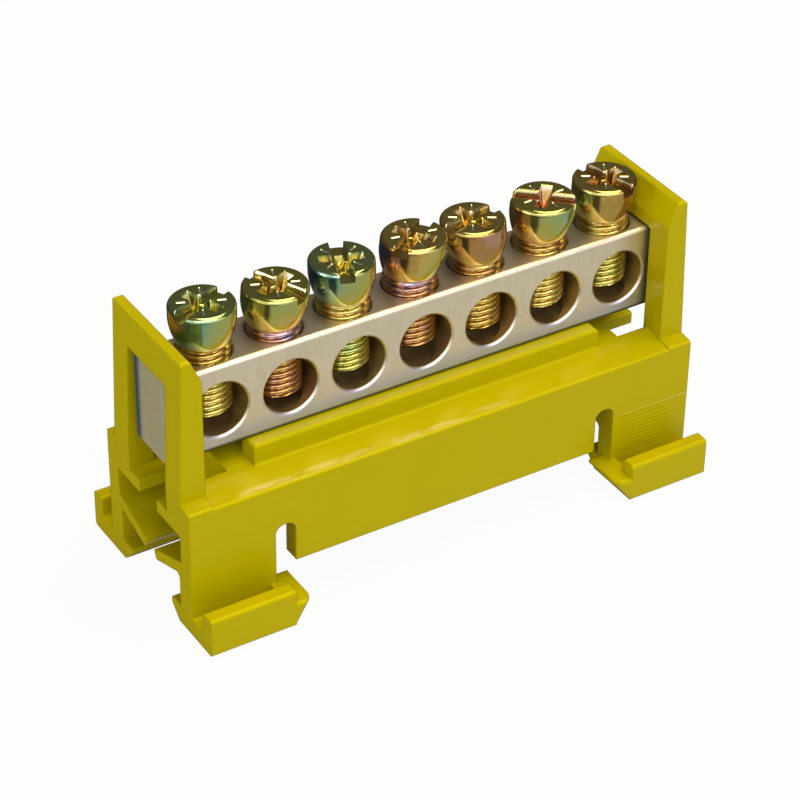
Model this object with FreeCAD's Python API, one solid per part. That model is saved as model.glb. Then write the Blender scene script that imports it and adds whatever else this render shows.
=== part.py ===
import FreeCAD, Part
import math
import os

# Earth terminal bar on a one-piece snap-on rail holder.
# Frame: +X along the bar, +Y to the back, +Z up; the feet stand on z = 0.

# holder
rail_gap = 35.5          # free width between the legs, takes a 35 mm rail
frame_over = 0.46        # end face of the holder past the end of the bar
body_w = 15.1            # over the two long walls
wall_t = 1.75
leg_t = 2.1              # wall below its tongue
deck_z = 12.7            # top of the ledge at its outer edge
deck_slope = 0.135       # rise of the ledge towards the bar, per mm
block_step = 0.12        # top of the end blocks above the ledge
foot_reach = 3.5         # outer lip of each foot past its wall
floor_z = 1.7            # top of the foot flange
lip_z = 3.85
lip_t = 1.55
toe_reach = 1.65         # foot flange inside each leg
toe_t = 1.87
toe_ramp_y = 1.3
toe_ramp_z = 1.25
skirt_z = 4.2            # lower edge of the wall between the legs
flex_w = 2.0             # flex slot between leg and middle wall
flex_top = 8.5
flex_r = 0.9
catch_reach = 1.65       # rail catch beyond the leg
catch_z = 2.45
catch_root = 0.6         # catch sunk into its leg
catch_heel = 0.1
catch_nose = 0.3         # upright face of the catch, above its ramp
catch_side = 1.0         # catch starts this far outside the leg's inner face
catch_round = 1.0        # plan radius of its outer corner at the top
catch_foot_round = 0.2   # and at the bottom
frame_head = 3.55        # end frame above its window
frame_jamb = 2.6         # end frame beside its window
frame_t = 2.45
frame_lean = 0.5         # outer face leans in towards the top
lead_x = 1.05            # lead-in bevel on the inner edge
lead_z = 2.3
window_gap = 0.45        # window side to bar face
window_play = 0.15       # window top to bar top
shelf_drop = 1.8         # end shelf below the ledge
shelf_t = 1.3
shelf_gap = 3.2          # between the two end shelves
well_len = 3.25          # open well in front of each end frame
well_side = 0.4          # the well is this much wider than the window, each side
deck_lap = 0.2           # deck plate into the ledges
tongue_tip = 0.65        # tongue tip from the middle plane
tongue_z = 4.95
tongue_drop = 1.85
tongue_t = 0.95
tongue_root = 1.5        # underside of the tongue runs up to its wall by this
tongue_nose = 0.4
rib_gap = 2.45           # rib end to well
rib_proud = 1.3          # rib in front of the bar's face
rib_w = 2.1
rib_h = 2.4              # rib top above the outer edge of the ledge
rib_toe = 0.4            # fillet strip in front of the rib
rib_sunk = 0.4
edge_r = 0.25
corner_r = 0.3
nook_r = 0.2
foot_r = 0.35
lip_r = 0.35
tongue_r = 0.5
crown_r = 0.35           # top corners of the end frames
lead_r = 0.6
rib_end_r = 0.45
rib_foot_r = 0.25

# bar
end_margin = 5.15        # last way's centre to the end of the bar, on average
way_off = 0.2            # the row of ways is drilled this far off the bar's middle
bar_w = 6.0
bar_h = 8.4
bar_bevel = 0.4
bar_under_bevel = 0.24
end_bevel = 0.8
way_count = 7
way_pitch = 6.83
bore_d = 5.3
bore_up = 3.9            # bore centre above the bar's underside
mouth_bevel = 0.18

# clamp screws
thread_d = 4.85
thread_play = 0.03       # radial, thread crest to tapped hole
head_d = 5.9
head_h = 3.45
head_top_d = 5.1
head_under_d = 5.0
rim_h = 0.45
belly_h = 1.3
neck_h = 1.25            # head underside above the bar
tip_above = 1.25         # tip above the lowest point of the bore
tip_bevel = 0.45
tap_floor = 0.15         # tapped hole stops this far above the bore's lowest point
slot_w = 1.3
slot_d = 0.85
wing_w = 1.1
wing_reach = 2.0
wing_foot_w = 0.55       # wing at the floor of the recess
wing_foot_reach = 0.8
core_d = 1.37            # centre well of the recess
core_foot_d = 0.95
recess_d = 1.9
screw_rise = [0.10, -0.30, 0.10, 0.30, -0.15, -0.05, -0.05]
slot_turn = [22.0, 113.0, 70.0, 35.0, 14.0, 137.0, 103.0]

X = FreeCAD.Vector(1, 0, 0)
Y = FreeCAD.Vector(0, 1, 0)
Z = FreeCAD.Vector(0, 0, 1)
ORIGIN = FreeCAD.Vector(0, 0, 0)

bar_len = (way_count - 1) * way_pitch + 2 * end_margin
half_len = bar_len / 2 + frame_over
half_body = body_w / 2
half_in = half_body - wall_t
half_leg = half_body - leg_t
half_foot = half_body + foot_reach
leg_x = rail_gap / 2
skirt_x = leg_x - flex_w
bar_z = deck_z + rib_h
bar_top = bar_z + bar_h
bore_z = bar_z + bore_up
half_win = bar_w / 2 + window_gap
half_well = half_win + well_side
win_top = bar_top + window_play
frame_top = win_top + frame_head
half_frame = half_win + frame_jamb
frame_in = half_len - frame_t
well_x = frame_in - well_len
shelf_z = deck_z - shelf_drop
rib_front = bar_w / 2 + rib_proud
rib_end = well_x - rib_gap
out = 1.0                # cutters run this far past what they cut


def box(x0, x1, y0, y1, z0, z1):
    return Part.makeBox(x1 - x0, y1 - y0, z1 - z0, FreeCAD.Vector(x0, y0, z0))


def ledge_z(y):
    """Height of the sloping ledge at distance y from the middle plane."""
    return deck_z + deck_slope * (half_body - y)


def rounded_edges(points):
    """Lines and arcs through (u, v, r) corners, each corner rounded by its own r."""
    n = len(points)
    starts = []
    for i in range(n):
        ax, ay, ar = points[i - 1]
        bx, by, r = points[i]
        cx, cy, cr = points[(i + 1) % n]
        la = math.hypot(ax - bx, ay - by)
        lc = math.hypot(cx - bx, cy - by)
        ua = ((ax - bx) / la, (ay - by) / la)
        uc = ((cx - bx) / lc, (cy - by) / lc)
        if r <= 0:
            starts.append(((bx, by), None, (bx, by)))
            continue
        turn = math.acos(max(-1.0, min(1.0, ua[0] * uc[0] + ua[1] * uc[1])))
        back = r / math.tan(turn / 2)
        p = (bx + ua[0] * back, by + ua[1] * back)
        q = (bx + uc[0] * back, by + uc[1] * back)
        mx = ua[0] + uc[0]
        my = ua[1] + uc[1]
        ml = math.hypot(mx, my)
        far = r / math.sin(turn / 2) - r
        m = (bx + mx / ml * far, by + my / ml * far)
        starts.append((p, m, q))
    edges = []
    for i in range(n):
        p, m, q = starts[i]
        if m is not None:
            edges.append(("arc", p, m, q))
        nxt = starts[(i + 1) % n][0]
        edges.append(("line", q, nxt))
    return edges


def outline_wire(points, place):
    """Closed wire of rounded corners; place maps (u, v) to a 3-D point."""
    edges = []
    for e in rounded_edges(points):
        if e[0] == "arc":
            edges.append(Part.Arc(place(*e[1]), place(*e[2]), place(*e[3])).toShape())
        else:
            a = place(*e[1])
            b = place(*e[2])
            if a.distanceToPoint(b) > 1e-6:
                edges.append(Part.LineSegment(a, b).toShape())
    return Part.Wire(edges)


def prism(points, place, direction):
    return Part.Face(outline_wire(points, place)).extrude(direction)


def along_x(points, x0, x1):
    return prism(points, lambda u, v: FreeCAD.Vector(x0, u, v), X * (x1 - x0))


def along_y(points, y0, y1):
    return prism(points, lambda u, v: FreeCAD.Vector(u, y0, v), Y * (y1 - y0))


def both(shape, normal):
    return [shape, shape.mirror(ORIGIN, normal)]


def holder_side():
    """Wall, foot, lip, toe and ledge of one long side over the whole length."""
    toe_y = half_leg - toe_reach
    low = tongue_z - tongue_t
    points = [
        (half_body, deck_z, edge_r),
        (half_body, floor_z, corner_r),
        (half_foot - lip_t, floor_z, corner_r),
        (half_foot - lip_t, lip_z, corner_r),
        (half_foot, lip_z, lip_r),
        (half_foot, 0, foot_r),
        (toe_y + toe_ramp_y, 0, nook_r),
        (toe_y, toe_ramp_z, nook_r),
        (toe_y, toe_t, nook_r / 2),
        (half_leg, toe_t, nook_r / 2),
        (half_leg, low + tongue_root, tongue_r),
        (tongue_tip + tongue_nose, low, edge_r),
        (tongue_tip, tongue_z, edge_r),
        (half_in, tongue_z + tongue_drop, nook_r),
        (half_in, shelf_z - shelf_t, nook_r),
        (shelf_gap / 2, shelf_z - shelf_t, nook_r),
        (shelf_gap / 2, shelf_z, nook_r),
        (half_win, shelf_z, nook_r),
        (half_win, ledge_z(half_win), nook_r / 2),
    ]
    return along_x(points, -half_len, half_len)


def flex_slot(side):
    """Inverted U between a leg and the middle wall, cut through both walls."""
    x0 = min(side * skirt_x, side * leg_x)
    x1 = max(side * skirt_x, side * leg_x)
    points = [(x0, -out, 0), (x0, flex_top, flex_r), (x1, flex_top, flex_r), (x1, -out, 0)]
    return along_y(points, -half_foot - out, half_foot + out)


def catch_outline(side, tip, corner, z):
    """Plan of the catch at height z: from its root in the leg out to its tip."""
    root = side * (leg_x + catch_root)
    y_in = half_leg + catch_side
    points = [
        (root, y_in, 0),
        (side * tip, y_in, 0),
        (side * tip, half_foot, corner),
        (root, half_foot, 0),
    ]
    return outline_wire(points, lambda u, v: FreeCAD.Vector(u, v, z))


def catch(side):
    """Rail catch on a foot: a thin nose over a ramp that runs down to the leg."""
    tip = leg_x - catch_reach
    heel = leg_x + catch_heel
    upper = catch_outline(side, tip, catch_round, catch_z - catch_nose)
    lower = catch_outline(side, heel, catch_foot_round, 0)
    nose = Part.Face(upper).extrude(Z * catch_nose)
    ramp = Part.makeLoft([upper, lower], True, True)
    edges = [(0, 0, 0), (half_foot, 0, foot_r), (half_foot, catch_z, lip_r), (0, catch_z, 0)]
    x0 = min(side * tip, side * half_len)
    x1 = max(side * tip, side * half_len)
    return nose.fuse(ramp).common(along_x(edges, x0, x1))


def end_frame():
    """Upright frame around one end of the bar, at +X."""
    points = [
        (frame_in, shelf_z, 0),
        (frame_in, frame_top - lead_z, lead_r),
        (frame_in + lead_x, frame_top, edge_r),
        (half_len - frame_lean, frame_top, corner_r),
        (half_len, ledge_z(half_win) + block_step, 0),
        (half_len, shelf_z, 0),
    ]
    plate = along_y(points, -half_frame, half_frame)
    outline = [
        (-half_frame, shelf_z - out, 0),
        (half_frame, shelf_z - out, 0),
        (half_frame, frame_top, crown_r),
        (-half_frame, frame_top, crown_r),
    ]
    return plate.common(along_x(outline, frame_in - out, half_len + out))


def window():
    points = [
        (-half_win, shelf_z, 0),
        (half_win, shelf_z, 0),
        (half_win, win_top, corner_r),
        (-half_win, win_top, corner_r),
    ]
    return along_x(points, frame_in - out, half_len + out)


def end_block():
    """Raised top of one end block, outside the window, at +X and +Y."""
    low = deck_z - block_step
    points = [
        (half_body, low, 0),
        (half_body, deck_z + block_step, edge_r),
        (half_win, ledge_z(half_win) + block_step, 0),
        (half_win, low, 0),
    ]
    return along_x(points, frame_in, half_len)


def well():
    """Open well between the deck and the end frame, at +X."""
    return box(well_x, frame_in, -half_well, half_well, shelf_z, frame_top)


def rib():
    """Rib the bar stands on, one side, with a small fillet onto the ledge in front."""
    low = deck_z - rib_sunk
    y_in = rib_front - rib_w
    toe = rib_front + rib_toe
    profile = [
        (y_in, low, 0),
        (y_in, bar_z, nook_r),
        (rib_front, bar_z, corner_r),
        (rib_front, ledge_z(rib_front), rib_foot_r),
        (toe, ledge_z(toe), 0),
        (toe, low, 0),
    ]
    body = along_x(profile, -rib_end, rib_end)
    side = [
        (-rib_end, low, 0),
        (-rib_end, bar_z, rib_end_r),
        (rib_end, bar_z, rib_end_r),
        (rib_end, low, 0),
    ]
    return body.common(along_y(side, 0, half_body))


def make_holder():
    side = holder_side()
    body = side.fuse(side.mirror(ORIGIN, Y))
    half_deck = half_win + deck_lap
    deck_top = ledge_z(half_win)
    deck = box(-well_x, well_x, -half_deck, half_deck, shelf_z - shelf_t, deck_top)
    body = body.fuse(deck)
    reach = half_foot + out
    rail_room = box(-leg_x, leg_x, -reach, reach, -out, skirt_z)
    inner_room = box(-leg_x, leg_x, -half_in, half_in, skirt_z - out, shelf_z - shelf_t)
    body = body.cut(rail_room)
    body = body.cut(inner_room)
    for s in (-1, 1):
        body = body.cut(flex_slot(s))
    catches = []
    for s in (-1, 1):
        catches.extend(both(catch(s), Y))
    body = body.fuse(catches)
    blocks = []
    for corner in both(end_block(), Y):
        blocks.extend(both(corner, X))
    body = body.fuse(blocks)
    frame = end_frame()
    body = body.fuse(both(frame, X))
    body = body.fuse(both(rib(), Y))
    for tool in both(window(), X) + both(well(), X):
        body = body.cut(tool)
    body = body.removeSplitter()
    return body


def make_bar():
    x0 = -bar_len / 2
    x1 = bar_len / 2
    points = [
        (-bar_w / 2, bar_z, bar_under_bevel),
        (bar_w / 2, bar_z, bar_under_bevel),
        (bar_w / 2, bar_top, bar_bevel),
        (-bar_w / 2, bar_top, bar_bevel),
    ]
    bar = along_x(points, x0, x1)
    plan = [
        (x0, -bar_w / 2, end_bevel),
        (x1, -bar_w / 2, end_bevel),
        (x1, bar_w / 2, end_bevel),
        (x0, bar_w / 2, end_bevel),
    ]
    trim = prism(plan, lambda u, v: FreeCAD.Vector(u, v, bar_z - out), Z * (bar_h + 2 * out))
    bar = bar.common(trim)
    tools = []
    tap_r = thread_d / 2 + thread_play
    tap_z = bore_z - bore_d / 2 + tap_floor
    m = mouth_bevel
    for i in range(way_count):
        x = way_x(i)
        start = FreeCAD.Vector(x, -bar_w / 2 - out, bore_z)
        tools.append(Part.makeCylinder(bore_d / 2, bar_w + 2 * out, start, Y))
        for s in (-1, 1):
            mouth = FreeCAD.Vector(x, s * bar_w / 2, bore_z)
            tools.append(Part.makeCone(bore_d / 2 + m, bore_d / 2, m, mouth, Y * -s))
        floor = FreeCAD.Vector(x, 0, tap_z)
        tools.append(Part.makeCylinder(tap_r, bar_top + out - tap_z, floor, Z))
        lead = FreeCAD.Vector(x, 0, bar_top - m)
        tools.append(Part.makeCone(tap_r, tap_r + m, m, lead, Z))
    for tool in tools:
        bar = bar.cut(tool)
    return bar


def way_x(i):
    return way_off + (i - (way_count - 1) / 2) * way_pitch


def recess(top):
    """Tapered cross recess with its centre well, wings along X and Y."""
    parts = []
    for turn in (0, 90):
        upper = wing_outline(wing_reach, wing_w / 2, top)
        lower = wing_outline(wing_foot_reach, wing_foot_w / 2, top - recess_d)
        loft = Part.makeLoft([upper, lower], True)
        loft.rotate(ORIGIN, Z, turn)
        parts.append(loft)
    centre = FreeCAD.Vector(0, 0, top)
    parts.append(Part.makeCone(core_d / 2, core_foot_d / 2, recess_d, centre, Z * -1))
    return parts


def wing_outline(a, b, z):
    corners = [(-a, -b), (a, -b), (a, b), (-a, b)]
    pts = [FreeCAD.Vector(u, v, z) for u, v in corners]
    return Part.makePolygon(pts + pts[:1])


def make_screw(i):
    rise = screw_rise[i % len(screw_rise)]
    under = bar_top + neck_h + rise
    top = under + head_h
    tip = bore_z - bore_d / 2 + tip_above + rise
    r = thread_d / 2
    outline = [
        (0, tip),
        (r - tip_bevel, tip),
        (r, tip + tip_bevel),
        (r, under),
        (head_under_d / 2, under),
        (head_d / 2, under + belly_h),
        (head_d / 2, top - rim_h),
        (head_top_d / 2, top),
        (0, top),
    ]
    pts = [FreeCAD.Vector(u, 0, v) for u, v in outline]
    wire = Part.makePolygon(pts + pts[:1])
    screw = Part.Face(wire).revolve(ORIGIN, Z, 360)
    slot = box(-head_d, head_d, -slot_w / 2, slot_w / 2, top - slot_d, top + out)
    for tool in [slot] + recess(top):
        screw = screw.cut(tool)
    screw.rotate(ORIGIN, Z, slot_turn[i % len(slot_turn)])
    screw.translate(FreeCAD.Vector(way_x(i), 0, 0))
    return screw


os.makedirs("parts", exist_ok=True)
make_holder().exportStep("parts/holder.step")
make_bar().exportStep("parts/terminal_bar.step")
for n in range(way_count):
    make_screw(n).exportStep("parts/screw_%d.step" % (n + 1))
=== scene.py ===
import math

import bmesh
import bpy
import numpy as np
from mathutils import Matrix, Vector


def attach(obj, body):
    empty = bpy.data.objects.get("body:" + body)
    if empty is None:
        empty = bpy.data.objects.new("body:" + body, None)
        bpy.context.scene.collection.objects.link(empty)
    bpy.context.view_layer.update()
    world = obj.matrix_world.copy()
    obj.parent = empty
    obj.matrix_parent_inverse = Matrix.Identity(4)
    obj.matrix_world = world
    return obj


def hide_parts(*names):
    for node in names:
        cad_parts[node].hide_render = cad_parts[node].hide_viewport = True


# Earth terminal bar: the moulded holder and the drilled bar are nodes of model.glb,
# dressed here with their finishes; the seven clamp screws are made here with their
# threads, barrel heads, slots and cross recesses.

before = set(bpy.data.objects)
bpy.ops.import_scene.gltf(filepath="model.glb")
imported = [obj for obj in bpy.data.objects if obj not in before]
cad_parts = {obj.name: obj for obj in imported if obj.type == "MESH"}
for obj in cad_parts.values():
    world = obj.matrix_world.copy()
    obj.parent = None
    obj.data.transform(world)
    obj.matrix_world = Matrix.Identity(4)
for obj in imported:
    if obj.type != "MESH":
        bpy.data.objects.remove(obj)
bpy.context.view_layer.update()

MM = 0.001

# sizes, in mm
BAR_TOP = 23.5
WAY_PITCH = 6.83
WAY_OFF = 0.2
WAY_Z = 19.0
WAY_R = 2.65
TAP_R = 2.5
HEAD_R = 2.95
HEAD_H = 3.45
NECK_H = 1.25
FLAT_R = 2.5
RIM_H = 0.45
BARREL_H = 1.35
FOOT_R = 2.45
THREAD_R = 2.42
THREAD_DEPTH = 0.3
THREAD_PITCH = 0.58
TIP_Z = 17.6
SLOT_W = 1.3
SLOT_D = 0.85
SLOT_EDGE = 0.12
WING_W = 1.1
WING_REACH = 2.0
WING_SLOPE = 0.49
WING_D = 1.5
RECESS_D = 1.9
CORE_R = 1.05
TICK_IN = 1.25
TICK_OUT = 2.2
MARK_Z = 7.2
MARK_PITCH = 0.42
SHARP_DEG = 55.0
FLOOR_GAP = 0.05

# one row per screw: rise, turn of the slot in degrees and lean to the right, then the
# film on the top, in the recess, at the middle of the side, its change to the right, at
# the belly and on the shank
SCREWS = (
    (0.10, 22.0, 0.00, 0.70, 0.78, 0.49, 0.32, 0.72, 0.88),
    (-0.30, 113.0, 0.17, 0.80, 0.90, 0.72, 0.10, 0.96, 1.12),
    (0.10, 70.0, -0.05, 0.68, 0.82, 0.58, 0.25, 0.80, 0.80),
    (0.30, 35.0, 0.22, 0.90, 0.97, 1.08, -0.34, 0.90, 1.12),
    (-0.15, 14.0, -0.24, 0.93, 0.92, 1.16, 0.12, 0.98, 0.98),
    (-0.05, 137.0, 0.18, 0.84, 1.12, 0.76, -0.22, 0.96, 0.92),
    (-0.05, 103.0, 0.06, 0.94, 1.06, 0.98, 0.22, 0.96, 0.84),
)
LEAN_Z = BAR_TOP + 1.0
# the photograph's level right and near directions
RIGHT = (0.847, -0.531)
NEAR = (-0.531, -0.847)


def new_finish(name, metallic, roughness):
    """A material with its shader and an Object coordinate socket ready."""
    finish = bpy.data.materials.new(name)
    finish.use_nodes = True
    tree = finish.node_tree
    shader = tree.nodes["Principled BSDF"]
    shader.inputs["Metallic"].default_value = metallic
    shader.inputs["Roughness"].default_value = roughness
    place = tree.nodes.new("ShaderNodeTexCoord").outputs["Object"]
    return finish, tree, shader, place


def add(tree, kind, **sockets):
    """A node with its plain inputs set and its linked inputs joined."""
    n = tree.nodes.new(kind)
    for key, value in sockets.items():
        if hasattr(n, key) and key not in n.inputs:
            setattr(n, key, value)
            continue
        socket = n.inputs[int(key[1:])] if key[0] == "i" and key[1:].isdigit() else n.inputs[key]
        if isinstance(value, bpy.types.NodeSocket):
            tree.links.new(value, socket)
        else:
            socket.default_value = value
    return n


def sums(tree, operation, a, b=0.0, c=0.0):
    """One step of arithmetic on sockets or numbers."""
    return add(tree, "ShaderNodeMath", operation=operation, i0=a, i1=b, i2=c).outputs[0]


def product(tree, *values):
    """All the values multiplied together."""
    total = values[0]
    for value in values[1:]:
        total = sums(tree, "MULTIPLY", total, value)
    return total


def ramp(tree, value, start, end, low=0.0, high=1.0, smooth=False):
    """low up to start, high from end on, and a slope between them."""
    n = add(tree, "ShaderNodeMapRange", Value=value, i1=start, i2=end, i3=low, i4=high)
    if smooth:
        n.interpolation_type = "SMOOTHSTEP"
    return n.outputs[0]


def inside(tree, axis, low, high, soft):
    """1 where a coordinate lies between low and high mm, with soft mm ramps, else 0."""
    up = ramp(tree, axis, (low - soft) * MM, (low + soft) * MM)
    down = ramp(tree, axis, (high + soft) * MM, (high - soft) * MM)
    return product(tree, up, down)


def coordinates(tree, place):
    """The x, y and z sockets of a place."""
    return add(tree, "ShaderNodeSeparateXYZ", Vector=place).outputs[:3]


def grain(tree, place, size, stretch=(1, 1, 1), detail=3.0, rough=0.5):
    """Noise whose cells are size mm across, drawn out along the axes by stretch."""
    scale = tuple(1 / (size * MM * s) for s in stretch)
    spot = add(tree, "ShaderNodeMapping", Vector=place, Scale=scale)
    n = add(tree, "ShaderNodeTexNoise", Vector=spot.outputs[0], Scale=1.0,
            Detail=detail, Roughness=rough)
    return n.outputs["Fac"]


def blend_colours(tree, share, a, b):
    """Colour a turned into colour b as share goes from 0 to 1."""
    n = tree.nodes.new("ShaderNodeMix")
    n.data_type = "RGBA"
    for socket, value in ((n.inputs[0], share), (n.inputs[6], a), (n.inputs[7], b)):
        if isinstance(value, bpy.types.NodeSocket):
            tree.links.new(value, socket)
        else:
            socket.default_value = value if socket == n.inputs[0] else (*value, 1.0)
    return n.outputs[2]


def colour_band(tree, share, stops):
    """The colour at share along a band of (place, colour) stops."""
    n = tree.nodes.new("ShaderNodeValToRGB")
    band = n.color_ramp
    while len(band.elements) < len(stops):
        band.elements.new(0.5)
    for element, (spot, colour) in zip(band.elements, stops):
        element.position = spot
        element.color = (*colour, 1.0)
    tree.links.new(share, n.inputs[0])
    return n.outputs[0]


def emboss(tree, shader, height, depth, soften=0.0):
    """Fine relief depth mm high; soften rounds the shading of edges over that many mm."""
    n = add(tree, "ShaderNodeBump", Height=height, Distance=depth * MM)
    if soften:
        edge = add(tree, "ShaderNodeBevel", samples=6, Radius=soften * MM)
        tree.links.new(edge.outputs[0], n.inputs["Normal"])
    tree.links.new(n.outputs[0], shader.inputs["Normal"])


def yellow_plastic():
    """Opaque greenish yellow moulding: a glossy skin over faint flow, and tool marks
    on the lower half of one leg; a painted highlight streak along the ledge and a
    painted highlight line over the tool marks."""
    finish, tree, shader, place = new_finish("yellow_plastic", 0.0, 0.24)
    cloud = grain(tree, place, 9.0, detail=4.0)
    colour = blend_colours(tree, cloud, (0.430, 0.360, 0.0004), (0.456, 0.386, 0.0006))
    x, y, z = coordinates(tree, place)
    # painted highlight: a pale streak on the ledge by the front edge stands in for the sheen that
    # the sloped ledge mirrors
    ledge_sheen_streak = product(
        tree,
        inside(tree, x, -23.0, 4.0, 3.0),
        inside(tree, y, -7.30, -6.65, 0.18),
        inside(tree, z, 12.6, 13.1, 0.02),
        ramp(tree, grain(tree, place, 1.1, stretch=(3, 1, 1)), 0.38, 0.60),
    )
    colour = blend_colours(tree, ledge_sheen_streak, colour, (0.60, 0.50, 0.13))
    leg = product(tree, inside(tree, x, 18.9, 26.3, 0.4), inside(tree, y, -7.8, -7.3, 0.1))
    # painted highlight: a thin pale line at MARK_Z on the leg's front stands in for the highlight
    # on the moulding step above the tool marks
    step = inside(tree, z, MARK_Z - 0.02, MARK_Z + 0.07, 0.03)
    colour = blend_colours(tree, product(tree, leg, step), colour, (0.74, 0.68, 0.10))
    tree.links.new(colour, shader.inputs["Base Color"])
    rough = ramp(tree, grain(tree, place, 1.6), 0.0, 1.0, 0.15, 0.25)
    tree.links.new(rough, shader.inputs["Roughness"])
    shader.inputs["Specular IOR Level"].default_value = 0.5
    shader.inputs["Specular Tint"].default_value = (1.0, 0.90, 0.0, 1.0)
    fine = grain(tree, place, 0.3, detail=2.0)
    flow = grain(tree, place, 4.0, detail=2.0)
    skin = sums(tree, "MULTIPLY_ADD", flow, 4.0, fine)
    waver = product(tree, grain(tree, place, 2.5, stretch=(4, 1, 1), detail=2.0), 5.0)
    turns = sums(tree, "MULTIPLY_ADD", z, 2 * math.pi / (MARK_PITCH * MM), waver)
    lines = product(tree, sums(tree, "SINE", turns), grain(tree, place, 0.8, stretch=(6, 1, 1)))
    relief = sums(tree, "MULTIPLY_ADD", lines, 3.2, -9.0)
    marks = product(tree, leg, inside(tree, z, 0.0, MARK_Z, 0.05), relief)
    emboss(tree, shader, sums(tree, "ADD", skin, marks), 0.005, 0.22)
    return finish


def bar_plating():
    """Dull white-metal plating over a drawn bar: fine upright marks, a bluish lower
    edge, bare brass in the ways, and sawn ends; painted shade along the bottom edge,
    towards the right end and on the back of each sawn end."""
    finish, tree, shader, place = new_finish("bar_plating", 1.0, 0.4)
    x, y, z = coordinates(tree, place)
    streak = grain(tree, place, 0.17, stretch=(1, 1, 9), detail=4.0, rough=0.65)
    cloud = grain(tree, place, 2.6, detail=6.0, rough=0.65)
    colour = blend_colours(tree, cloud, (0.58, 0.50, 0.39), (0.88, 0.80, 0.70))
    fleck = ramp(tree, streak, 0.35, 0.65)
    colour = blend_colours(tree, fleck, colour, (0.81, 0.73, 0.62))
    low = ramp(tree, z, 15.4 * MM, 17.8 * MM, 0.9, 0.0, smooth=True)
    colour = blend_colours(tree, low, colour, (0.52, 0.55, 0.86))
    # painted shade: a dark navy band along the bar's bottom edge, where it sits on the holder's
    # ribs
    rim = ramp(tree, z, 15.38 * MM, 15.52 * MM, 0.9, 0.0)
    colour = blend_colours(tree, rim, colour, (0.08, 0.10, 0.19))
    # painted shade and painted reflection: the bar turns dark olive towards its right end, where
    # the right frame shades it and is mirrored in it
    right_end_shade = ramp(tree, x, 22.9 * MM, 24.6 * MM, 0.0, 0.92)
    colour = blend_colours(tree, right_end_shade, colour, (0.10, 0.10, 0.035))

    half = WAY_PITCH / 2 * MM
    across = sums(tree, "ADD", x, half - WAY_OFF * MM)
    across = sums(tree, "SUBTRACT", sums(tree, "FLOORED_MODULO", across, 2 * half), half)
    upright = sums(tree, "SUBTRACT", z, WAY_Z * MM)
    from_way = sums(tree, "MULTIPLY_ADD", across, across, product(tree, upright, upright))
    way = sums(tree, "LESS_THAN", sums(tree, "SQRT", from_way), (WAY_R + 0.03) * MM)
    from_tap = sums(tree, "MULTIPLY_ADD", across, across, product(tree, y, y))
    tap = sums(tree, "LESS_THAN", sums(tree, "SQRT", from_tap), TAP_R * MM)
    along = sums(tree, "ABSOLUTE", sums(tree, "SUBTRACT", x, WAY_OFF * MM))
    row = sums(tree, "LESS_THAN", along, len(SCREWS) / 2 * WAY_PITCH * MM)
    bore = product(tree, sums(tree, "MAXIMUM", way, tap), row)
    brass = blend_colours(tree, cloud, (0.42, 0.31, 0.15), (0.66, 0.52, 0.30))
    colour = blend_colours(tree, bore, colour, brass)

    end = sums(tree, "GREATER_THAN", sums(tree, "ABSOLUTE", x), 25.1 * MM)
    turned = add(tree, "ShaderNodeMapping", Vector=place, Rotation=(math.radians(-75), 0, 0))
    saw = grain(tree, turned.outputs[0], 0.12, stretch=(1, 1, 30))
    sawn_end_and_shade = blend_colours(tree, saw, (0.24, 0.22, 0.13), (0.42, 0.39, 0.26))
    # painted shade: the back strip of each sawn end is turned dark blue
    back = ramp(tree, y, 1.2 * MM, 2.0 * MM)
    sawn_end_and_shade = blend_colours(tree, back, sawn_end_and_shade, (0.03, 0.05, 0.13))
    colour = blend_colours(tree, end, colour, sawn_end_and_shade)
    tree.links.new(colour, shader.inputs["Base Color"])
    tree.links.new(sums(tree, "SUBTRACT", 1.0, end), shader.inputs["Metallic"])
    rough = ramp(tree, cloud, 0.0, 1.0, 0.34, 0.48)
    tree.links.new(rough, shader.inputs["Roughness"])
    skin = sums(tree, "MULTIPLY_ADD", cloud, 1.5, streak)
    height = sums(tree, "MULTIPLY_ADD", product(tree, saw, end), 6.0, skin)
    emboss(tree, shader, height, 0.008, 0.10)
    return finish


def passivated_zinc():
    """Bright zinc under an uneven yellow chromate film; the film's colour follows
    its thickness."""
    finish, tree, shader, place = new_finish("passivated_zinc", 0.95, 0.15)
    film = add(tree, "ShaderNodeAttribute", attribute_name="film").outputs["Fac"]
    patches = grain(tree, place, 1.4, detail=4.0, rough=0.65)
    spread = add(tree, "ShaderNodeAttribute", attribute_name="spread").outputs["Fac"]
    shift = product(tree, sums(tree, "SUBTRACT", patches, 0.5), spread)
    thickness = sums(tree, "FRACT", sums(tree, "ADD", film, shift))
    colour = colour_band(tree, thickness, (
        (0.00, (0.50, 0.34, 0.09)),
        (0.14, (0.46, 0.25, 0.10)),
        (0.26, (0.52, 0.31, 0.28)),
        (0.38, (0.07, 0.14, 0.40)),
        (0.50, (0.20, 0.38, 0.38)),
        (0.64, (0.36, 0.48, 0.22)),
        (0.80, (0.48, 0.46, 0.12)),
        (0.92, (0.62, 0.48, 0.16)),
        (1.00, (0.50, 0.34, 0.09)),
    ))
    worn = add(tree, "ShaderNodeAttribute", attribute_name="worn").outputs["Fac"]
    colour = blend_colours(tree, worn, colour, (0.86, 0.84, 0.80))
    tree.links.new(colour, shader.inputs["Base Color"])
    rough = ramp(tree, grain(tree, place, 0.5), 0.0, 1.0, 0.08, 0.20)
    tree.links.new(sums(tree, "MULTIPLY_ADD", worn, 0.2, rough), shader.inputs["Roughness"])
    emboss(tree, shader, grain(tree, place, 0.6, detail=2.0), 0.012)
    return finish


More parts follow.
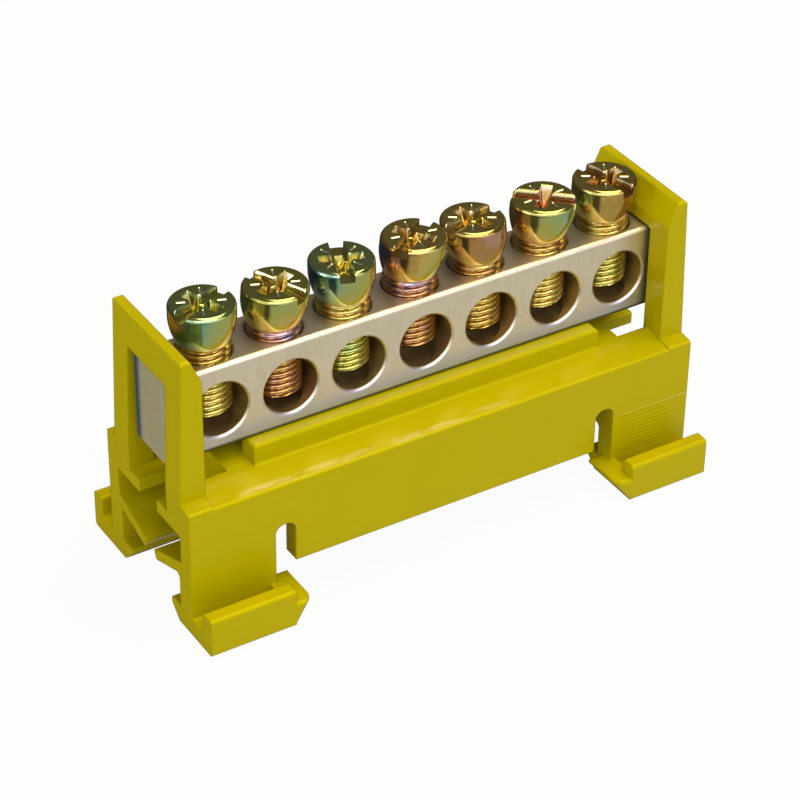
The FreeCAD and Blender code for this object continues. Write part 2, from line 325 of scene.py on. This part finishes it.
def lines_to(limit, edges, step):
    """Grid lines from -limit to limit: even steps, with the named edges let in."""
    even = np.linspace(0.0, limit, int(round(limit / step)) + 1)
    edges = np.array(edges)
    far = np.abs(even[:, None] - edges[None, :]).min(1) > step * 0.35
    half = np.unique(np.concatenate([even[far | (even == 0) | (even == limit)], edges]))
    return np.concatenate([-half[:0:-1], half])


def head_depth(x, y):
    """How far the drive is sunk at (x, y): the slot is a level floor between steep
    walls with a small bevel; each wing is a channel of parabola section with sloped
    ends; the core is a cone; the ticks are shallow V grooves on the diagonals. The
    deepest of them counts."""
    half = SLOT_W / 2
    ax, ay = np.abs(x), np.abs(y)
    slot = np.clip((half + 0.03 - ay) / 0.03, 0, 1) * SLOT_D
    bevel = np.clip(half + 0.03 + SLOT_EDGE - ay, 0, SLOT_EDGE)
    deep = np.maximum(slot, bevel)
    for across, along in ((ax, ay), (ay, ax)):
        side = WING_D * np.clip(1 - (across / (WING_W / 2)) ** 2, 0, 1)
        end = np.clip((WING_REACH - along) / WING_SLOPE, 0, WING_D)
        deep = np.maximum(deep, np.minimum(side, end))
    r = np.hypot(x, y)
    deep = np.maximum(deep, np.clip((CORE_R - r) / 0.6, 0, 1) * RECESS_D)
    return np.maximum(deep, 0.09 * tick(x, y))


def tick(x, y):
    """1 along the four stamped ticks on the diagonals, falling to 0 at their edges."""
    r = np.hypot(x, y)
    off_line = np.abs(np.abs(x) - np.abs(y)) / math.sqrt(2)
    ends = np.clip(np.minimum(r - TICK_IN, TICK_OUT - r) / 0.1, 0, 1)
    return np.clip(1 - off_line / 0.13, 0, 1) * ends


def crown(r):
    """Height of the bare head's top under its highest plane: level to FLAT_R, then
    a quarter ellipse down to the rim."""
    t = np.clip((r - FLAT_R) / (HEAD_R - FLAT_R), 0, 1)
    return -RIM_H * (1 - np.sqrt(np.clip(1 - t * t, 0, 1)))


def top_height(x, y):
    r = np.minimum(np.hypot(x, y), HEAD_R)
    return np.minimum(crown(r), -head_depth(x, y))


def barrel(z):
    """Radius of the head at depth z: upright to BARREL_H, then drawn in to its foot."""
    t = np.clip((-z - BARREL_H) / (HEAD_H - BARREL_H), 0, 1)
    return HEAD_R - (HEAD_R - FOOT_R) * t ** 1.7


def head_sheets():
    """The head's top is a square of grid lines set on the slot's and the wings'
    edges, with a cap of the same lines out to the circle on each side. The side
    goes from each point of the circle down the barrel to the foot."""
    a = HEAD_R / math.sqrt(2)
    half = SLOT_W / 2
    ys = lines_to(a, (half + 0.03 + SLOT_EDGE, half + 0.03, half, WING_W / 2), 0.05)
    xs = lines_to(a, (WING_W / 2, CORE_R), 0.05)
    sheets = []
    x, y = np.meshgrid(xs, ys, indexing="ij")
    sheets.append(np.stack([x, y, top_height(x, y)], -1))
    s = np.sin(np.linspace(0, math.pi / 2, 16))
    rim = []
    for swap, lines in ((False, ys), (True, xs)):
        for sign in (1.0, -1.0):
            run = -lines * sign if swap else lines * sign
            arc = np.sqrt(np.clip(HEAD_R ** 2 - run ** 2, 0, None))
            across = sign * (a + (arc[None, :] - a) * s[:, None])
            along = np.broadcast_to(run[None, :], across.shape)
            u, v = (along, across) if swap else (across, along)
            sheets.append(np.stack([u, v, top_height(u, v)], -1))
            rim.append(sheets[-1][-1])
    edge = np.concatenate(rim)
    angle = np.arctan2(edge[:, 1], edge[:, 0])
    order = np.argsort(angle)
    angle, top = angle[order], edge[order, 2]
    keep = np.concatenate([[True], np.diff(angle) > 1e-6])
    angle, top = angle[keep], top[keep]
    angle = np.append(angle, angle[0] + 2 * math.pi)
    top = np.append(top, top[0])
    t = np.linspace(0, 1, 26)[:, None]
    z = top[None, :] * (1 - t) - HEAD_H * t
    r = barrel(z)
    sheets.append(np.stack([r * np.cos(angle), r * np.sin(angle), z], -1))
    return sheets


def thread_sheet(top, tip):
    """Right-hand thread: the radius falls from wide crests by a power of a cosine
    wave whose phase is height over pitch less the angle's share of a turn; it
    fades out under the head and is drawn in at the tip."""
    rows = int((top - tip) / THREAD_PITCH * 14)
    z = np.linspace(top, tip, rows)[:, None]
    angle = np.linspace(0, 2 * math.pi, 73)[None, :]
    phase = z / THREAD_PITCH - angle / (2 * math.pi)
    groove = (0.5 - 0.5 * np.cos(2 * math.pi * phase)) ** 1.8
    fade = np.clip((top - z - 0.15) / 0.25, 0, 1)
    r = THREAD_R - 0.12 * (1 - fade) - THREAD_DEPTH * groove * fade
    r = np.minimum(r, THREAD_R - 0.5 + np.clip(z - tip, 0, 0.5) * 1.0)
    r = r + 0 * angle
    return np.stack([r * np.cos(angle), r * np.sin(angle), z + 0 * angle], -1)


def ring_sheet(rings):
    """Rings of (radius, height) joined into one turned surface."""
    rings = np.array(rings)
    angle = np.linspace(0, 2 * math.pi, 73)[None, :]
    r, z = rings[:, :1], rings[:, 1:]
    return np.stack([r * np.cos(angle), r * np.sin(angle), z + 0 * angle], -1)


def make_piece(name, sheets, finish, marks):
    """One mesh from grids of points, in mm; doubles are merged and faces turned
    outwards. marks gives the attributes for an array of points."""
    points, faces, start = [], [], 0
    for sheet in sheets:
        m, n = sheet.shape[:2]
        number = start + np.arange(m * n).reshape(m, n)
        quads = np.stack([number[:-1, :-1], number[1:, :-1],
                          number[1:, 1:], number[:-1, 1:]], -1)
        points.append(sheet.reshape(-1, 3))
        faces.append(quads.reshape(-1, 4))
        start += m * n
    points = np.concatenate(points) * MM
    mesh = bpy.data.meshes.new(name)
    mesh.from_pydata(points.tolist(), [], np.concatenate(faces).tolist())
    form = bmesh.new()
    form.from_mesh(mesh)
    bmesh.ops.remove_doubles(form, verts=form.verts, dist=1e-6)
    bmesh.ops.dissolve_degenerate(form, dist=1e-7, edges=form.edges)
    bmesh.ops.recalc_face_normals(form, faces=form.faces)
    form.to_mesh(mesh)
    form.free()
    mesh.polygons.foreach_set("use_smooth", [True] * len(mesh.polygons))
    mesh.set_sharp_from_angle(angle=math.radians(SHARP_DEG))
    mesh.materials.append(finish)
    spots = np.zeros(len(mesh.vertices) * 3)
    mesh.vertices.foreach_get("co", spots)
    for mark, values in marks(spots.reshape(-1, 3) / MM).items():
        data = mesh.attributes.new(mark, "FLOAT", "POINT").data
        data.foreach_set("value", values.astype(np.float32))
    piece = bpy.data.objects.new(name, mesh)
    bpy.context.scene.collection.objects.link(piece)
    return piece


def make_screw(number, finish):
    """A clamp screw of the table with its thread, turned and leaning as its row says."""
    (rise, turn, lean, top_film, drive_film,
     side_film, side_run, belly_film, shank_film) = SCREWS[number]
    x0 = WAY_OFF + (number - (len(SCREWS) - 1) / 2) * WAY_PITCH
    under = BAR_TOP + NECK_H + rise
    top = under + HEAD_H
    tip = TIP_Z + rise
    sheets = [s + np.array([0, 0, top]) for s in head_sheets()]
    thread = thread_sheet(under, tip)
    neck_r = float(np.hypot(thread[0, 0, 0], thread[0, 0, 1]))
    end_r = float(np.hypot(thread[-1, 0, 0], thread[-1, 0, 1]))
    sheets.append(thread)
    sheets.append(ring_sheet([(FOOT_R, under), (neck_r, under)]))
    sheets.append(ring_sheet([(end_r, tip), (end_r * 0.5, tip - 0.02), (0.0, tip - 0.02)]))
    c, s = math.cos(math.radians(turn)), math.sin(math.radians(turn))
    placed = []
    for sheet in sheets:
        x, y, z = sheet[..., 0], sheet[..., 1], sheet[..., 2]
        off = lean * np.maximum(z - LEAN_Z, 0) / 2.5
        u = x * c - y * s + x0 + off * RIGHT[0]
        v = x * s + y * c + off * RIGHT[1]
        placed.append(np.stack([u, v, z], -1))

    def film_at(p):
        """Film, its spread and wear at an array of points, in mm."""
        off = lean * np.maximum(p[:, 2] - LEAN_Z, 0) / 2.5
        u, v = p[:, 0] - x0 - off * RIGHT[0], p[:, 1] - off * RIGHT[1]
        x, y = u * c + v * s, v * c - u * s
        across = (u * RIGHT[0] + v * RIGHT[1]) / HEAD_R
        depth = top - p[:, 2]
        drive = np.where(np.hypot(x, y) < HEAD_R - 0.1, np.clip(head_depth(x, y) / 0.3, 0, 1), 0)
        drive = np.where(depth < RECESS_D + 0.1, drive, 0)
        low = np.clip((depth - RIM_H) / (HEAD_H - RIM_H), 0, 1) ** 1.5
        flank = side_film + side_run * across + (belly_film - side_film) * low
        over = np.clip(depth / RIM_H, 0, 1)
        film = top_film * (1 - over) + flank * over
        film = film * (1 - drive) + drive_film * drive
        worn = tick(x, y) * (depth < 0.2)
        edge = drive * np.clip(1 - (depth - 0.15) / 0.4, 0, 1) * (depth > 0.04)
        head = p[:, 2] > under + 0.02
        return {
            "film": np.where(head, film, shank_film + 0.12 * (p[:, 2] > BAR_TOP)),
            "spread": np.where(head, 0.42 + 0.25 * drive, 0.62),
            "worn": np.where(head, np.maximum(worn, 0.7 * edge), 0.0),
        }

    piece = make_piece("clamp_screw_%d_threaded" % (number + 1), placed, finish, film_at)
    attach(piece, "clamp_screw_%d" % (number + 1))
    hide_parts("screw_%d" % (number + 1))
    return piece


def dress(node, finish):
    """One finish for the whole of a CAD node."""
    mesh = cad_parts[node].data
    mesh.materials.clear()
    mesh.materials.append(finish)


dress("holder", yellow_plastic())
dress("terminal_bar", bar_plating())
zinc = passivated_zinc()
for n in range(len(SCREWS)):
    make_screw(n, zinc)


def studio():
    """Pale floor, soft boxes, and a studio that is bright low down; what shines
    mirrors a white wall on the right, a white tent in front and a dim room elsewhere."""
    mesh = bpy.data.meshes.new("floor")
    w = 3.0
    mesh.from_pydata([(-w, -w, 0), (w, -w, 0), (w, w, 0), (-w, w, 0)], [], [(0, 1, 2, 3)])
    floor = bpy.data.objects.new("floor", mesh)
    floor.location.z = -FLOOR_GAP * MM
    bpy.context.scene.collection.objects.link(floor)
    pale = bpy.data.materials.new("pale_floor")
    pale.use_nodes = True
    tree = pale.node_tree
    tree.nodes.remove(tree.nodes["Principled BSDF"])
    path = tree.nodes.new("ShaderNodeLightPath")
    glossy = sums(tree, "MAXIMUM", path.outputs["Is Glossy Ray"],
                  path.outputs["Is Transmission Ray"])
    white = add(tree, "ShaderNodeEmission", Color=(1, 1, 1, 1), Strength=1.0)
    matt = add(tree, "ShaderNodeBsdfDiffuse", Color=(0.6, 0.6, 0.6, 1))
    seen = sums(tree, "MULTIPLY", path.outputs["Is Camera Ray"], 0.95)
    mix = add(tree, "ShaderNodeMixShader", i0=seen, i1=matt.outputs[0], i2=white.outputs[0])
    clear = tree.nodes.new("ShaderNodeBsdfTransparent")
    mix = add(tree, "ShaderNodeMixShader", i0=glossy, i1=mix.outputs[0], i2=clear.outputs[0])
    tree.links.new(mix.outputs[0], tree.nodes["Material Output"].inputs[0])
    mesh.materials.append(pale)

    world = bpy.data.worlds.new("studio")
    bpy.context.scene.world = world
    world.use_nodes = True
    tree = world.node_tree
    way = tree.nodes.new("ShaderNodeTexCoord").outputs["Generated"]
    up = add(tree, "ShaderNodeSeparateXYZ", Vector=way).outputs[2]

    def towards(direction):
        n = add(tree, "ShaderNodeVectorMath", operation="DOT_PRODUCT", i0=way, i1=(*direction, 0))
        return n.outputs["Value"]

    def soft(value, start, end):
        return ramp(tree, value, start, end, smooth=True)

    right = towards(RIGHT)
    front = towards(NEAR)
    hall = colour_band(tree, up, (
        (0.00, (1.0, 1.0, 1.0)),
        (0.22, (0.95, 0.95, 0.95)),
        (0.40, (0.105, 0.098, 0.088)),
        (0.80, (0.12, 0.115, 0.11)),
        (1.00, (0.5, 0.5, 0.5)),
    ))
    low = product(tree, soft(right, -0.30, -0.10), soft(front, -0.50, -0.20), soft(up, 0.10, -0.05))
    tent = product(tree, soft(front, 0.05, 0.35), soft(up, -0.12, 0.0), soft(up, 0.85, 0.65))
    dim = blend_colours(tree, soft(up, -0.1, 0.1), (0.05, 0.045, 0.03), (0.09, 0.085, 0.065))
    room = blend_colours(tree, low, dim, (0.62, 0.60, 0.50))
    room = blend_colours(tree, tent, room, (1.3, 1.3, 1.3))
    wide, high, drop = 0.26, 0.17, 0.26
    aside = product(tree, right, 1 / wide)
    below = sums(tree, "MULTIPLY_ADD", up, 1 / high, drop / high)
    reach = sums(tree, "MULTIPLY_ADD", aside, aside, product(tree, below, below))
    stand = product(tree, soft(reach, 1.3, 0.6), soft(front, 0.1, 0.3))
    room = blend_colours(tree, stand, room, (0.07, 0.07, 0.06))
    mirrored = tree.nodes.new("ShaderNodeLightPath").outputs["Is Glossy Ray"]
    tree.links.new(blend_colours(tree, mirrored, hall, room), tree.nodes["Background"].inputs[0])
    tree.nodes["Background"].inputs[1].default_value = 1.0

    def soft_box(name, spot, aim, size, power, tint):
        lamp = bpy.data.lights.new(name, "AREA")
        lamp.shape = "RECTANGLE"
        lamp.size, lamp.size_y = size
        lamp.energy = power
        lamp.color = tint
        box = bpy.data.objects.new(name, lamp)
        box.location = spot
        box.rotation_euler = (Vector(aim) - Vector(spot)).to_track_quat("-Z", "Y").to_euler()
        bpy.context.scene.collection.objects.link(box)

    soft_box("key_box", (-0.16, -0.60, 0.60), (0, 0, 0.015), (1.0, 0.40), 4.1, (0.97, 1.0, 0.88))
    soft_box("top_box", (0.20, -0.06, 0.85), (0, 0, 0.015), (0.60, 0.60), 6.2, (1.0, 0.84, 0.58))
    soft_box("left_box", (-0.80, 0.0, 0.14), (0, 0, 0.012), (0.3, 0.2), 1.8, (1.0, 0.96, 0.78))


def camera():
    """The photograph's view: 32 degrees round to the left, 35 degrees down."""
    az, el, roll = math.radians(32.084), math.radians(34.881), math.radians(0.808)
    target = Vector((-0.530, 0.113, 11.147)) * MM
    back = Vector((-math.sin(az) * math.cos(el), -math.cos(az) * math.cos(el), math.sin(el)))
    right = Vector((math.cos(az), -math.sin(az), 0.0))
    up = back.cross(right)
    right2 = right * math.cos(roll) + up * math.sin(roll)
    up2 = up * math.cos(roll) - right * math.sin(roll)
    lens = bpy.data.cameras.new("camera")
    lens.sensor_width = 36.0
    lens.lens = 36.0 * 2858.9 / 800.0
    lens.clip_start = 0.01
    view = bpy.data.objects.new("camera", lens)
    turn = Matrix((right2, up2, back)).transposed().to_4x4()
    view.matrix_world = Matrix.Translation(target + back * 257.129 * MM) @ turn
    bpy.context.scene.collection.objects.link(view)
    bpy.context.scene.camera = view


studio()
camera()
bpy.context.scene.view_settings.view_transform = "Standard"
